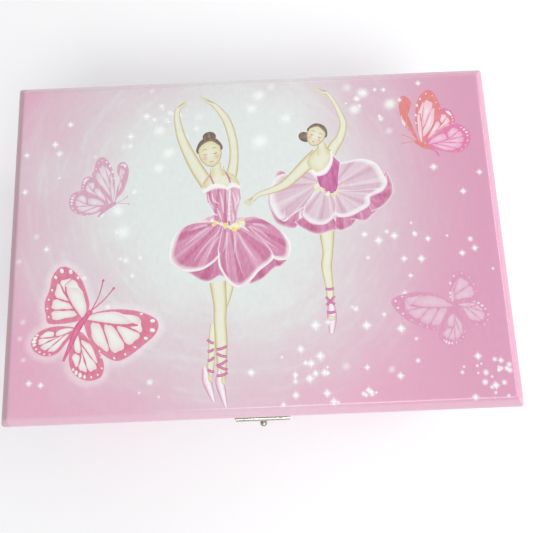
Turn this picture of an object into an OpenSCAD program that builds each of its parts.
// Ballerina music box: a paper-wrapped board box with a bevelled lid, a snap hasp, lined
// compartments, and a wind-up comb movement that turns a dancer on a coil spring.
// Millimetres. X is the width, Y runs from front (-) to rear (+), and Z is up from the table.

/* [Box] */
// Outside width of the body and the lid
box_w = 220; // [212:1:260]
// Outside depth of the body and the lid, front to rear
box_d = 155; // [150:1:190]
// Height of the body's rim above the table
seam_z = 70; // [68:1:80]
// Thickness of the outside boards
wall_t = 4; // [3:0.5:4.5]
// Thickness of the felt sheet under the base
felt_t = 1; // [0.5:0.5:1.5]
// Thickness of the base board
base_t = 4; // [3.5:0.5:4.5]
// Thickness of the velvet-covered lining boards
lining_t = 2; // [1.5:0.5:2]

/* [Lid] */
// Height of the rails round the lid
rail_h = 13.7; // [13:0.1:16]
// Thickness of the bevelled top panel
top_t = 6; // [5:0.5:8]
// How far the bevel runs in from the edge
bevel_in = 4.2; // [2:0.1:6]
// How far the bevel drops at the edge
bevel_drop = 3.8; // [2:0.1:4.5]
// How far the lid opens, in degrees
lid_opens = 95; // [90:1:100]
// Width of the mirror
mirror_w = 120; // [80:1:150]
// Depth of the mirror
mirror_d = 88; // [60:1:100]

/* [Interior] */
// Half the width of the stage that covers the movement
stage_half = 42; // [41:1:46]
// Height of the top of the stage
stage_z = 39; // [39:0.5:41]
// Height of the tops of the dividers
divider_z = 36; // [30:1:36]
// Number of ring rolls, which is also in NODES
roll_count = 6; // [6:1:6]
// Radius of one ring roll
roll_r = 6.2; // [5.5:0.1:6.2]

/* [Dancer] */
// Angle of the folded dancer from upright, in degrees
fold = 62; // [58:1:66]
// Radius of the skirt
skirt_r = 13; // [10:0.5:13]
// Radius of the bend in the folded spring's centre line
bend_r = 7.4; // [7:0.1:8]

/* [Music movement] */
// Module of the great wheel, its pinion and the spindle's wheels
drive_m = 0.8; // [0.8:0.1:0.8]
// Teeth on the spring barrel's great wheel
great_teeth = 32; // [32:1:32]
// Teeth on the cylinder's pinion
pinion_teeth = 16; // [16:1:16]
// Module of the governor's wheels
fine_m = 0.5; // [0.5:0.1:0.5]
// Teeth on the cylinder's large wheel
wheel_teeth = 36; // [36:1:36]
// Teeth on the governor's pinion
governor_teeth = 12; // [12:1:12]
// Teeth on the wheel that drives the worm
worm_teeth = 20; // [20:1:20]
// Teeth on the crown wheel and on the spindle's wheel
crown_teeth = 14; // [14:1:14]
// Teeth in the comb, one for each note
comb_notes = 18; // [18:1:18]

/* [Latch and hinges] */
// Width of the latch's plate on the lid
latch_w = 24; // [20:1:28]
// Width of the hasp
hasp_w = 11; // [9:0.5:12]
// Width of one hinge
hinge_w = 24; // [20:1:28]
// Distance of each hinge from the middle
hinge_x = 70; // [50:1:85]

/* [Hidden] */
$fn = 48;

// The inside of the body, within the lining
clear = 0.3;
floor_z = felt_t + base_t;
board_x = box_w / 2 - wall_t;
board_y = box_d / 2 - wall_t;
in_x = board_x - lining_t;
in_y = board_y - lining_t;
panel_t = 2;
pad_t = 1.5;
stage_front_y = in_y - 63.5;

// The lid
rail_z = seam_z + clear;
rail_top = rail_z + rail_h;
lid_z = rail_top + top_t;
lid_lining_t = 2.5;
mirror_t = 2;
frame_w = 4;

// Places in the movement: ry(v) is v forward of the rear lining
function ry(v) = in_y - v;
axis_z = 21;
bedplate_t = 2;
bed_z = floor_z + bedplate_t;
great_r = drive_m * great_teeth / 2;
pinion_r = drive_m * pinion_teeth / 2;
barrel_x = -(great_r + pinion_r);
wheel_r = fine_m * wheel_teeth / 2;
governor_r = fine_m * governor_teeth / 2;
governor_x = wheel_r + governor_r;
worm_wheel_r = fine_m * worm_teeth / 2;
worm_r = 1.6;
worm_lead = PI * fine_m;
fly_x = governor_x + worm_wheel_r + worm_r;
fly_y = ry(6.5);
crown_r = drive_m * crown_teeth / 2;
spindle_y = ry(51.5);
arbor_r = 1.5;
pivot_r = 1;
run = 0.06;
barrel_r = 11.3;
cylinder_r = 6.2;
pin_h = 0.5;
comb_tip = cylinder_r + pin_h + 0.25;
stop_x = fly_x + 3.6;
brake_top = 33.6;

// The dancer, whose spring bends from upright to folded about the pivot
turntable_z = stage_z + 2;
bend_half = bend_r * tan(fold / 2);
pivot_z = turntable_z + bend_half;

// The latch and the hinges
leaf_t = 0.8;
knuckle_r = 1.5;
knuckle_gap = 0.1;
hinge_y = box_d / 2 + knuckle_r + knuckle_gap;
hinge_z = seam_z + clear / 2;
latch_y = -hinge_y;
latch_z = seam_z + 2.2;
pin_r = 0.7;

// ---- Helpers ----

// A plain board between two corners
module board(low, high) {
    translate(low) cube([for (i = [0:2]) high[i] - low[i]]);
}

// Front, rear, left and right boards of a rectangular ring, with a glue line at each butt joint
glue = 0.05;

module board_ring(half_x, half_y, t, z0, z1) {
    for (side = [-1, 1]) {
        translate([0, side * (half_y - t / 2), (z0 + z1) / 2]) cube([2 * half_x, t, z1 - z0], center = true);
        translate([side * (half_x - t / 2), 0, (z0 + z1) / 2])
            cube([t, 2 * (half_y - t - glue), z1 - z0], center = true);
    }
}

// A profile drawn in X and Z, running from v0 to v1 forward of the rear lining
module along_y(v0, v1) {
    translate([0, ry(v0), 0]) rotate([90, 0, 0]) linear_extrude(v1 - v0) children();
}

// A round bar along Y
module rod_y(x, z, r, v0, v1) {
    along_y(v0, v1) translate([x, z]) circle(r);
}

// An upright round bar
module post(x, y, r, z0, z1) {
    translate([x, y, z0]) cylinder(r = r, h = z1 - z0);
}

// A round bar along X
module rod_x(y, z, r, x0, x1) {
    translate([x0, y, z]) rotate([0, 90, 0]) cylinder(r = r, h = x1 - x0);
}

// The involute of a 20 degree gear, as the half angle of a tooth at radius r, in degrees
function roll_angle(base, r) = let (a = acos(min(1, base / r))) tan(a) * 180 / PI - a;
function tooth_half(teeth, pitch, base, slack, r) =
    90 / teeth - slack / (2 * pitch) * 180 / PI + roll_angle(base, pitch) - roll_angle(base, max(r, base));

// A spur gear's outline with a tooth pointing along the first axis
module gear(teeth, m, slack, root_extra = 0) {
    pitch = teeth * m / 2;
    base = pitch * cos(20);
    root = pitch - 1.25 * m - root_extra;
    tip = pitch + 0.9 * m;
    radii = [for (i = [0:4]) root + (tip - root) * i / 4];
    polygon([
        for (k = [0:teeth - 1], side = [-1, 1], i = [0:4])
            let (r = radii[side < 0 ? i : 4 - i])
            let (a = k * 360 / teeth + side * tooth_half(teeth, pitch, base, slack, r))
            r * [cos(a), sin(a)]
    ]);
}

// A plate's outline with round corners
module rounded_plate(w, h, r) {
    square([w - 2 * r, h], center = true);
    square([w, h - 2 * r], center = true);
    for (x = [-1, 1], y = [-1, 1]) translate([x * (w / 2 - r), y * (h / 2 - r)]) circle(r);
}

// Places a shape drawn upright on the pivot, folded forward with the dancer
module folded() {
    translate([0, spindle_y, pivot_z]) rotate([fold, 0, 0]) children();
}

// ---- Body ----

module base_felt() {
    color("#8a2f55") board([-box_w / 2 + 1, -box_d / 2 + 1, 0], [box_w / 2 - 1, box_d / 2 - 1, felt_t]);
}

screw_spots = [[-28, ry(54)], [28, ry(54)], [31, ry(5)]];
head_h = 1.6;

module base_board() {
    color("#c9a678") difference() {
        board([-board_x, -board_y, felt_t], [board_x, board_y, floor_z]);
        for (p = screw_spots) {
            post(p[0], p[1], 3, felt_t - 1, felt_t + head_h);
            post(p[0], p[1], 1.6, felt_t, floor_z + 1);
        }
    }
}

module front_wall() {
    color("#eab3cc") board([-box_w / 2, -box_d / 2, felt_t], [box_w / 2, -board_y, seam_z]);
}

bush_r = 4.5;

module rear_wall() {
    color("#eab3cc") difference() {
        board([-box_w / 2, board_y, felt_t], [box_w / 2, box_d / 2, seam_z]);
        rod_y(barrel_x, axis_z, bush_r, -wall_t - lining_t - 1, 1);
    }
}

module side_wall(side) {
    color("#e6a9c6") translate([side * (box_w / 2 - wall_t / 2), 0, (felt_t + seam_z) / 2])
        cube([wall_t, 2 * board_y, seam_z - felt_t], center = true);
}

module wall_lining() {
    color("#f6cfdc") difference() {
        board_ring(board_x, board_y, lining_t, floor_z, seam_z - 2);
        rod_y(barrel_x, axis_z, bush_r, -lining_t - 1, 1);
    }
}

module compartment_pads() {
    gap = 0.3;
    color("#f3b6cb") for (side = [-1, 1], rear = [0, 1]) {
        y0 = rear ? stage_front_y + panel_t : -in_y;
        y1 = rear ? in_y : stage_front_y;
        translate([side * (stage_half + in_x) / 2, (y0 + y1) / 2, floor_z + pad_t / 2])
            cube([in_x - stage_half - 2 * gap, y1 - y0 - 2 * gap, pad_t], center = true);
    }
}

module cross_dividers() {
    color("#f6cfdc") for (side = [-1, 1])
        translate([side * (stage_half + in_x) / 2, stage_front_y + panel_t / 2, (floor_z + divider_z) / 2])
            cube([in_x - stage_half, panel_t, divider_z - floor_z], center = true);
}

module front_dividers() {
    color("#f6cfdc") for (side = [-1, 1])
        translate([side * (stage_half - panel_t / 2), (stage_front_y - in_y) / 2, (floor_z + divider_z) / 2])
            cube([panel_t, stage_front_y + in_y, divider_z - floor_z], center = true);
}

tray_half = stage_half - panel_t - clear;
foam_h = 11;

module ring_foam() {
    color("#f0c3d3") board([-tray_half, -in_y + clear, floor_z], [tray_half, stage_front_y - clear, floor_z + foam_h]);
}

roll_pitch = (stage_front_y + in_y) / roll_count;

module ring_roll(number) {
    y = -in_y + roll_pitch * (number - 0.5);
    color("#f7d7e2") rod_x(y, floor_z + foam_h + roll_r, roll_r, -tray_half, tray_half);
}

// ---- Stage over the movement ----

module stage_top() {
    color("#f6cfdc") difference() {
        board([-stage_half - 1, stage_front_y - 1, stage_z - panel_t], [stage_half + 1, in_y, stage_z]);
        post(0, spindle_y, 2.6, stage_z - panel_t - 1, stage_z + 1);
        post(stop_x, fly_y, 2.2, stage_z - panel_t - 1, stage_z + 1);
    }
}

module stage_front() {
    color("#f6cfdc") board([-stage_half, stage_front_y, floor_z],
        [stage_half, stage_front_y + panel_t, stage_z - panel_t]);
}

module stage_sides() {
    color("#f6cfdc") for (side = [-1, 1])
        translate([side * (stage_half - panel_t / 2), (stage_front_y + panel_t + in_y) / 2,
            (floor_z + stage_z - panel_t) / 2])
            cube([panel_t, in_y - stage_front_y - panel_t, stage_z - panel_t - floor_z], center = true);
}

// A flanged eyelet pressed down into the stage
module eyelet(x, y, outer, inner, flange) {
    difference() {
        union() {
            post(x, y, outer, stage_z - panel_t - 0.6, stage_z);
            post(x, y, flange, stage_z, stage_z + 0.5);
        }
        post(x, y, inner, stage_z - panel_t - 1, stage_z + 1);
    }
}

stop_r = 1;

module stage_bushes() {
    color("#d8c27a") {
        eyelet(0, spindle_y, 2.6, arbor_r + run, 4);
        eyelet(stop_x, fly_y, 2.2, stop_r + run, 3.2);
    }
}

// ---- Movement: frame ----

module bedplate() {
    color("#b9bcc0") difference() {
        union() {
            board([-36, ry(58), floor_z], [35, ry(1.5), bed_z]);
            post(0, spindle_y, 4, bed_z, bed_z + 4);
            post(fly_x, fly_y, 2.4, bed_z, bed_z + 3);
        }
        post(0, spindle_y, arbor_r + run, floor_z + 1, bed_z + 5);
        post(fly_x, fly_y, 0.8 + run, floor_z + 1, bed_z + 4);
        for (p = screw_spots) post(p[0], p[1], 1.5, floor_z - 1, bed_z + 1);
    }
}

module front_bracket() {
    color("#b9bcc0") difference() {
        along_y(35, 37) {
            translate([-34, bed_z]) square([40, 8]);
            translate([barrel_x, axis_z]) circle(6);
            translate([barrel_x - 6, bed_z]) square([12, axis_z - bed_z]);
            translate([0, axis_z]) circle(4);
            translate([-4, bed_z]) square([8, axis_z - bed_z]);
        }
        rod_y(barrel_x, axis_z, arbor_r + run, 34, 38);
        rod_y(0, axis_z, pivot_r + run, 34, 38);
    }
}

// The rear bracket also carries the governor's arbor and the arm over the air brake
module rear_bracket() {
    arm_z = brake_top + 0.8;
    arm_t = 1.2;
    color("#b9bcc0") difference() {
        union() {
            along_y(3, 5) {
                translate([-34, bed_z]) square([48, 8]);
                translate([barrel_x, axis_z]) circle(6);
                translate([barrel_x - 6, bed_z]) square([12, axis_z - bed_z]);
                translate([-4, bed_z]) square([18, axis_z + 3 - bed_z]);
                translate([8, bed_z]) square([4.2, arm_z + arm_t - bed_z]);
            }
            board([8, ry(8), arm_z], [fly_x + 1.8, ry(3), arm_z + arm_t]);
            board([governor_x - 2.2, ry(10.5), bed_z], [governor_x + 2.2, ry(9.5), axis_z + 2.2]);
            board([governor_x - 2.2, ry(10.5), bed_z], [governor_x + 2.2, ry(3), bed_z + 1.5]);
        }
        rod_y(barrel_x, axis_z, arbor_r + run, 2, 6);
        rod_y(0, axis_z, pivot_r + run, 2, 6);
        rod_y(governor_x, axis_z, 0.8 + run, 2, 11);
        post(fly_x, fly_y, 0.8 + run, arm_z - 1, arm_z + arm_t + 1);
    }
}

comb_z = axis_z - 0.4;
comb_t = 0.8;
comb_v0 = 11;
comb_v1 = 28;
comb_root = 20;
comb_back = 31;
comb_screw_v = [14.5, 24.5];
comb_screw_x = 26.5;

module comb_block() {
    color("#c9b36a") difference() {
        board([comb_root + 1, ry(comb_v1 + 1), bed_z], [comb_back, ry(comb_v0 - 0.5), comb_z]);
        for (v = comb_screw_v) post(comb_screw_x, ry(v), 1, comb_z - 6, comb_z + 1);
    }
}

module comb() {
    pitch = (comb_v1 - comb_v0) / comb_notes;
    color("#d9dde0") difference() {
        translate([0, 0, comb_z]) linear_extrude(comb_t) {
            translate([comb_root, ry(comb_v1)]) square([comb_back - comb_root, comb_v1 - comb_v0]);
            for (i = [0:comb_notes - 1])
                translate([comb_tip, ry(comb_v1) + pitch * i + 0.15])
                    square([comb_root - comb_tip + 0.5, pitch - 0.3]);
        }
        for (v = comb_screw_v) post(comb_screw_x, ry(v), 1.1, comb_z - 1, comb_z + comb_t + 1);
    }
}

// Three screws come up through the base board, and two hold the comb down on its block
module movement_screws() {
    comb_top = comb_z + comb_t;
    color("#cfcfcf") {
        for (p = screw_spots) difference() {
            union() {
                post(p[0], p[1], 2.8, felt_t + 0.1, felt_t + head_h);
                post(p[0], p[1], 1.5, felt_t + head_h, bed_z - 0.2);
            }
            translate([p[0], p[1], felt_t]) cube([4, 0.7, 1.4], center = true);
            translate([p[0], p[1], felt_t]) cube([0.7, 4, 1.4], center = true);
        }
        for (v = comb_screw_v) difference() {
            union() {
                post(comb_screw_x, ry(v), 1, comb_z - 5, comb_top);
                post(comb_screw_x, ry(v), 2, comb_top, comb_top + 1.2);
            }
            translate([comb_screw_x, ry(v), comb_top + 1.2]) cube([5, 0.5, 1], center = true);
        }
    }
}

// ---- Movement: spring barrel and winding ----

module barrel_drum() {
    skin = 0.8;
    color("#d7dadd") difference() {
        rod_y(barrel_x, axis_z, barrel_r, 13.5, 29.5);
        rod_y(barrel_x, axis_z, barrel_r - skin, 13.5 + skin, 29.5 - skin);
        rod_y(barrel_x, axis_z, arbor_r + run, 12, 31);
    }
}

module great_wheel() {
    color("#d6b95e") difference() {
        union() {
            along_y(30.7, 32.9) translate([barrel_x, axis_z]) gear(great_teeth, drive_m, 0.16);
            rod_y(barrel_x, axis_z, 4, 29.5, 30.7);
        }
        rod_y(barrel_x, axis_z, arbor_r + run, 29, 34);
        for (a = [0:72:359])
            rod_y(barrel_x + 8 * cos(a + 36), axis_z + 8 * sin(a + 36), 2, 30, 34);
    }
}

// The mainspring is one strip wound in a spiral
module mainspring() {
    turns = 7;
    steps = 22;
    strip = 0.35;
    r0 = 2.6;
    r1 = barrel_r - 1.4;
    function spiral(i, off) =
        let (t = i / (turns * steps), a = 360 * turns * t) (r0 + (r1 - r0) * t + off) * [cos(a), sin(a)];
    color("#8e959c") along_y(15, 28) translate([barrel_x, axis_z]) polygon(concat(
        [for (i = [0:turns * steps]) spiral(i, 0)],
        [for (i = [turns * steps:-1:0]) spiral(i, strip)]));
}

key_r = 2.4;
key_v0 = 1.5;
key_v1 = -10.5;

module winding_arbor() {
    color("#c8ccd0") rod_y(barrel_x, axis_z, arbor_r, key_v1 + 2, 38);
}

// The winding key is a tube with two flat wings
module winding_key() {
    color("#c9ccd1") {
        difference() {
            rod_y(barrel_x, axis_z, key_r, key_v1, key_v0);
            rod_y(barrel_x, axis_z, arbor_r, key_v1 + 2, key_v0 + 1);
        }
        difference() {
            translate([barrel_x - 0.9, ry(key_v1), axis_z]) rotate([90, 0, 90]) linear_extrude(1.8) {
                translate([-1.2, -2]) square([7, 4]);
                for (side = [-1, 1]) translate([6.5, side * 4.6]) circle(4.6);
                translate([2, -4.6]) square([7, 9.2]);
            }
            for (side = [-1, 1])
                rod_x(ry(key_v1) + 6.5, axis_z + side * 5, 2, barrel_x - 2, barrel_x + 2);
        }
    }
}

module key_bush() {
    color("#d8c27a") difference() {
        union() {
            rod_y(barrel_x, axis_z, bush_r, -wall_t - lining_t, 0);
            rod_y(barrel_x, axis_z, bush_r + 2, -wall_t - lining_t - 0.8, -wall_t - lining_t);
        }
        rod_y(barrel_x, axis_z, key_r + 0.3, -wall_t - lining_t - 1, 1);
    }
}

// ---- Movement: cylinder, governor and spindle ----

module music_cylinder() {
    color("#d9bd66") difference() {
        rod_y(0, axis_z, cylinder_r, 10.5, 28.5);
        rod_y(0, axis_z, pivot_r, 10, 29);
    }
}

// Three pins in each note's track, at angles that never repeat
module cylinder_pins() {
    pitch = (comb_v1 - comb_v0) / comb_notes;
    color("#e8d48a") for (i = [0:comb_notes - 1], k = [0:2])
        translate([0, ry(comb_v1) + pitch * (i + 0.5), axis_z])
            rotate([0, k * 120 + 47 * i % 110, 0])
                translate([0, 0, cylinder_r + 0.02]) cylinder(r = 0.22, h = pin_h - 0.02, $fn = 16);
}

module cylinder_arbor() {
    color("#c8ccd0") rod_y(0, axis_z, pivot_r, 3, 44.5);
}

// The pinion, the large wheel and the crown wheel on the cylinder's arbor
module cylinder_wheels() {
    crown_face = spindle_y + crown_r + 1.3;
    tooth_l = 2;
    disc_t = 1.7;
    color("#d6b95e") difference() {
        union() {
            along_y(30.5, 33.1) translate([0, axis_z]) rotate(180 / pinion_teeth) gear(pinion_teeth, drive_m, 0.16);
            along_y(7.7, 9.1) translate([0, axis_z]) gear(wheel_teeth, fine_m, 0.1);
            translate([0, crown_face + disc_t, axis_z]) rotate([90, 0, 0]) cylinder(r = crown_r + 1.5, h = disc_t);
            for (k = [0:crown_teeth - 1])
                translate([0, crown_face, axis_z]) rotate([0, k * 360 / crown_teeth, 0])
                    translate([0, 0.1, crown_r]) rotate([90, 0, 0])
                        linear_extrude(tooth_l + 0.1) square([0.8, 2], center = true);
        }
        rod_y(0, axis_z, pivot_r, 2, 60);
    }
}

module governor_wheels() {
    color("#e8e2d0") {
        along_y(7.6, 9.2) translate([governor_x, axis_z]) rotate(180 / governor_teeth)
            gear(governor_teeth, fine_m, 0.1, 0.05);
        along_y(6, 7) translate([governor_x, axis_z]) gear(worm_teeth, fine_m, 0.3);
        rod_y(governor_x, axis_z, 0.8, 3, 10.5);
    }
}

// The worm is a single right-handed thread, with a groove facing the worm wheel at mid height
module governor_worm() {
    root = 1.1;
    tip = 2.05;
    crest = 76;
    ramp = 44;
    worm_h = 5;
    turns = worm_h / worm_lead;
    color("#f1ead6") translate([fly_x, fly_y, axis_z - worm_h / 2])
        linear_extrude(worm_h, twist = -360 * turns, slices = 40, $fn = 16) rotate(-180 * turns) difference() {
            polygon([for (a = [-180:20:160])
                (root + (tip - root) * max(0, min(1, (crest - abs(a)) / ramp))) * [cos(a), sin(a)]]);
            circle(0.84, $fn = 16);
        }
}

module air_brake() {
    color("#f1ead6") {
        post(fly_x, fly_y, 0.8, bed_z - 0.8, brake_top + 1.8);
        post(fly_x, fly_y, 5, brake_top - 0.6, brake_top);
        translate([fly_x, fly_y, 30.8]) cube([10, 0.6, 4.5], center = true);
        translate([fly_x, fly_y, 30.8]) cube([0.6, 10, 4.5], center = true);
    }
}

module spindle_shaft() {
    color("#c8ccd0") {
        post(0, spindle_y, arbor_r, floor_z + 1.2, turntable_z - 1.2);
        post(0, spindle_y, 5, turntable_z - 1.2, turntable_z);
        post(0, spindle_y, 1.4, turntable_z, turntable_z + 2);
    }
}

module spindle_wheel() {
    low = axis_z + crown_r - 1.4;
    color("#e8e2d0") difference() {
        union() {
            translate([0, spindle_y, low]) linear_extrude(2.8) gear(crown_teeth, drive_m, 0.5);
            post(0, spindle_y, 3, low, low + 5);
        }
        post(0, spindle_y, arbor_r, low - 1, low + 6);
    }
}

// ---- Dancer ----

spring_r = 2.3;

// The coil stands as a bent sleeve of its outer size
module dancer_spring() {
    color("#d9dde0") translate([0, spindle_y - bend_r, turntable_z]) rotate([90, 0, 90])
        rotate_extrude(angle = fold) translate([bend_r, 0]) difference() {
            circle(spring_r, $fn = 32);
            circle(spring_r - 0.5, $fn = 32);
        }
}

// A limb between two points, each [x, y, z], with a rounded joint at its far end
module limb(from, to, r) {
    d = to - from;
    len = norm(d);
    translate(from) rotate([0, acos(d[2] / len), atan2(d[1], d[0])]) cylinder(r = r, h = len);
    translate(to) sphere(r * 1.15);
}

waist_z = 25;

// The figure stands on its toes with its legs together and its arms in a ring over its head
module dancer_figure() {
    color("#f6dcc2") folded() {
        translate([0, 0, bend_half - 1.9]) cylinder(r = 1.35, h = 2.6);
        translate([0, 0, bend_half + 0.05]) cylinder(r = 2.2, h = 1);
        translate([0, 0, bend_half + 1]) cylinder(r1 = 1, r2 = 2.6, h = waist_z - 3 - bend_half);
        translate([0, 0, waist_z - 2.5]) cylinder(r1 = 3.2, r2 = 2.3, h = 4.5);
        translate([0, 0, waist_z + 2]) cylinder(r1 = 2.3, r2 = 3.3, h = 5.5);
        translate([0, 0, waist_z + 7.5]) cylinder(r1 = 3.3, r2 = 1.2, h = 1.2);
        translate([0, 0, waist_z + 8]) cylinder(r = 1, h = 3);
        translate([0, 0, waist_z + 13]) sphere(3);
        translate([0, 0.8, waist_z + 16.2]) sphere(1.5);
        for (side = [-1, 1]) {
            limb([side * 2.2, 0, waist_z + 7], [side * 7, 0, waist_z + 12], 0.95);
            limb([side * 7, 0, waist_z + 12], [side * 5.6, -0.5, waist_z + 18.5], 0.85);
            limb([side * 5.6, -0.5, waist_z + 18.5], [side * 1.6, -0.5, waist_z + 21], 0.75);
        }
    }
}

module dancer_skirt() {
    color("#ee7fae") folded() difference() {
        translate([0, 0, waist_z - 1.4]) cylinder(r1 = skirt_r, r2 = skirt_r - 1.5, h = 2.8);
        translate([0, 0, waist_z - 2]) cylinder(r = 3.3, h = 4);
    }
}

// ---- Stop rod that the lid presses down ----

stop_top = rail_top - lid_lining_t - 0.2;
collar_z = stage_z + 7;

module stop_rod() {
    color("#d9dde0") {
        post(stop_x, fly_y, stop_r, brake_top + 0.15, stop_top);
        post(stop_x, fly_y, 2.3, collar_z, collar_z + 1);
    }
}

module stop_spring() {
    color("#c8ccd0") difference() {
        post(stop_x, fly_y, 2, stage_z + 0.5, collar_z);
        post(stop_x, fly_y, 1.3, stage_z, collar_z + 1);
    }
}

// ---- Lid ----

// The bevelled slab is the overlap of two bevelled profiles
module bevel_profile(w) {
    polygon([[-w / 2, 0], [w / 2, 0], [w / 2, top_t - bevel_drop], [w / 2 - bevel_in, top_t],
        [bevel_in - w / 2, top_t], [-w / 2, top_t - bevel_drop]]);
}

module lid_top_panel() {
    color("#e8b4cd") translate([0, 0, rail_top]) intersection() {
        translate([0, box_d / 2 + 1, 0]) rotate([90, 0, 0]) linear_extrude(box_d + 2) bevel_profile(box_w);
        translate([-box_w / 2 - 1, 0, 0]) rotate([90, 0, 90]) linear_extrude(box_w + 2) bevel_profile(box_d);
    }
}

module lid_rails() {
    color("#e6a9c6") board_ring(box_w / 2, box_d / 2, wall_t, rail_z, rail_top);
}

module lid_lining() {
    gap = 0.2;
    color("#f6cfdc") board([-board_x + gap, -board_y + gap, rail_top - lid_lining_t],
        [board_x - gap, board_y - gap, rail_top]);
}

module mirror() {
    low = rail_top - lid_lining_t - mirror_t;
    color("#dfe9ee") board([-mirror_w / 2, -mirror_d / 2, low], [mirror_w / 2, mirror_d / 2, low + mirror_t]);
}

module mirror_frame() {
    high = rail_top - lid_lining_t;
    color("#f3b6cb") difference() {
        board([-mirror_w / 2 - frame_w, -mirror_d / 2 - frame_w, high - mirror_t - 0.5],
            [mirror_w / 2 + frame_w, mirror_d / 2 + frame_w, high]);
        board([-mirror_w / 2, -mirror_d / 2, high - mirror_t - 1], [mirror_w / 2, mirror_d / 2, high + 1]);
    }
}

// ---- Hinges ----

leaf_h = 10.5;
knuckle_half = 4;

module for_each_hinge() {
    for (side = [-1, 1]) translate([side * hinge_x, hinge_y, hinge_z]) children();
}

// One leaf, drawn about the hinge's axis: up is 1 for the lid's and -1 for the body's
module leaf_plate(up) {
    y = -knuckle_r - knuckle_gap;
    low = up > 0 ? 0.05 : -leaf_h - 0.05;
    translate([-hinge_w / 2, y, low]) cube([hinge_w, leaf_t, leaf_h]);
}

module hinge_body_leaves() {
    color("#c9ccd1") for_each_hinge() difference() {
        union() {
            leaf_plate(-1);
            for (side = [-1, 1])
                rod_x(0, 0, knuckle_r, min(side * hinge_w / 2, side * (knuckle_half + 0.2)),
                    max(side * hinge_w / 2, side * (knuckle_half + 0.2)));
        }
        rod_x(0, 0, knuckle_r + 0.25, -knuckle_half - 0.2, knuckle_half + 0.2);
        rod_x(0, 0, pin_r, -hinge_w, hinge_w);
    }
}

module hinge_lid_leaves() {
    color("#c9ccd1") for_each_hinge() difference() {
        union() {
            difference() {
                leaf_plate(1);
                for (side = [-1, 1])
                    translate([side * (hinge_w / 2 + knuckle_half) / 2 + side * 0.1, 0, 0]) rotate([0, 90, 0])
                        cylinder(r = knuckle_r + 0.25, h = hinge_w / 2 - knuckle_half + 0.2, center = true);
            }
            rod_x(0, 0, knuckle_r, -knuckle_half, knuckle_half);
        }
        rod_x(0, 0, pin_r + run, -hinge_w, hinge_w);
    }
}

module hinge_pins() {
    color("#b9bcc0") for_each_hinge() rod_x(0, 0, pin_r, -hinge_w / 2, hinge_w / 2);
}

// The head of a nail or screw on a face: into is 1 where it goes in towards +Y, and -1 towards -Y
module fixing(x, z, face_y, into, head_r) {
    translate([x, face_y, z]) rotate([into * 90, 0, 0]) cylinder(r1 = head_r, r2 = head_r * 0.55, h = 0.6);
}

// Two screws in each leaf: up is 1 for the lid's and -1 for the body's
module hinge_screws(up) {
    color("#e2e4e6") for (side = [-1, 1], x = [-8, 8])
        fixing(side * hinge_x + x, hinge_z + up * 6.5, box_d / 2 + leaf_t, -1, 1.5);
}

// ---- Latch ----

latch_plate_h = 10;

module latch_knuckles(side) {
    x0 = hasp_w / 2 + 0.2;
    rod_x(latch_y, latch_z, knuckle_r, min(side * x0, side * latch_w / 2), max(side * x0, side * latch_w / 2));
}

// The plate on the lid, with two knuckles and the pin that is riveted through them
module latch_lid_plate() {
    color("#c9ccc4") {
        difference() {
            union() {
                translate([0, -box_d / 2, latch_z + latch_plate_h / 2 - 0.5]) rotate([90, 0, 0])
                    linear_extrude(leaf_t) rounded_plate(latch_w, latch_plate_h + 1, 1.2);
                for (side = [-1, 1]) latch_knuckles(side);
                for (side = [-1, 1])
                    fixing(side * 8, latch_z + 6.5, -box_d / 2 - leaf_t, 1, 1.3);
            }
            rod_x(latch_y, latch_z, knuckle_r + 0.25, -hasp_w / 2 - 0.2, hasp_w / 2 + 0.2);
            translate([-hasp_w / 2 - 0.2, -box_d / 2 - leaf_t - 1, latch_z - 3])
                cube([hasp_w + 0.4, leaf_t + 1.5, 3]);
        }
        rod_x(latch_y, latch_z, pin_r, -latch_w / 2 - 0.3, latch_w / 2 + 0.3);
    }
}

hasp_l = 12;
hasp_back = latch_y - knuckle_r + leaf_t;

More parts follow.
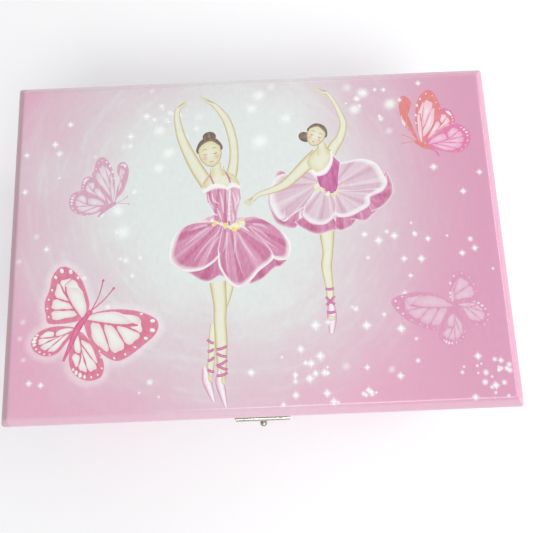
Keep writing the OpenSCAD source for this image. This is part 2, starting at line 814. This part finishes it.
module latch_hasp() {
    knob_r = 1.7;
    knob_y = latch_y - knuckle_r - 2.2;
    tip_z = latch_z - hasp_l;
    color("#cfd2c9") difference() {
        union() {
            rod_x(latch_y, latch_z, knuckle_r, -hasp_w / 2, hasp_w / 2);
            translate([0, hasp_back, latch_z - hasp_l / 2]) rotate([90, 0, 0]) linear_extrude(leaf_t) {
                translate([-hasp_w / 2, -1.5]) square([hasp_w, hasp_l / 2 + 1.5]);
                polygon([[-hasp_w / 2, -1.5], [hasp_w / 2, -1.5], [2.6, -hasp_l / 2], [-2.6, -hasp_l / 2]]);
                translate([0, -hasp_l / 2]) circle(2.6);
            }
            rod_x(hasp_back, tip_z + 3.6, 0.45, -3, 3);
            translate([0, hasp_back - leaf_t + 0.1, tip_z]) rotate([90, 0, 0]) cylinder(r = 0.9, h = 1.6);
            translate([0, knob_y, tip_z]) sphere(knob_r);
        }
        rod_x(latch_y, latch_z, pin_r + run, -latch_w, latch_w);
    }
}

// The catch: a plate with a shallow bead that the hasp's own bead springs over
module latch_catch() {
    high = seam_z - 1;
    h = 10.5;
    color("#c9ccc4") {
        translate([0, -box_d / 2, high - h / 2]) rotate([90, 0, 0])
            linear_extrude(leaf_t) rounded_plate(latch_w - 4, h, 1.2);
        rod_x(-box_d / 2 - leaf_t, latch_z - hasp_l + 5.6, 0.8, -3.5, 3.5);
        for (side = [-1, 1]) fixing(side * 7.6, high - h / 2, -box_d / 2 - leaf_t, 1, 1.3);
    }
}

// ---- Drawing ----

base_felt();
base_board();
front_wall();
rear_wall();
side_wall(-1);  // left_wall
side_wall(1);  // right_wall
wall_lining();
compartment_pads();
cross_dividers();
front_dividers();
ring_foam();
for (number = [1:roll_count])
    ring_roll(number);
stage_top();
stage_front();
stage_sides();
stage_bushes();
key_bush();
bedplate();
front_bracket();
rear_bracket();
comb_block();
comb();
movement_screws();
barrel_drum();
great_wheel();
mainspring();
winding_arbor();
winding_key();
music_cylinder();
cylinder_pins();
cylinder_arbor();
cylinder_wheels();
governor_wheels();
governor_worm();
air_brake();
spindle_shaft();
spindle_wheel();
dancer_spring();
dancer_figure();
dancer_skirt();
stop_rod();
stop_spring();
lid_top_panel();
lid_rails();
lid_lining();
mirror();
mirror_frame();
hinge_body_leaves();
hinge_lid_leaves();
hinge_pins();
hinge_screws(-1);  // hinge_body_screws
hinge_screws(1);  // hinge_lid_screws
latch_lid_plate();
latch_hasp();
latch_catch();
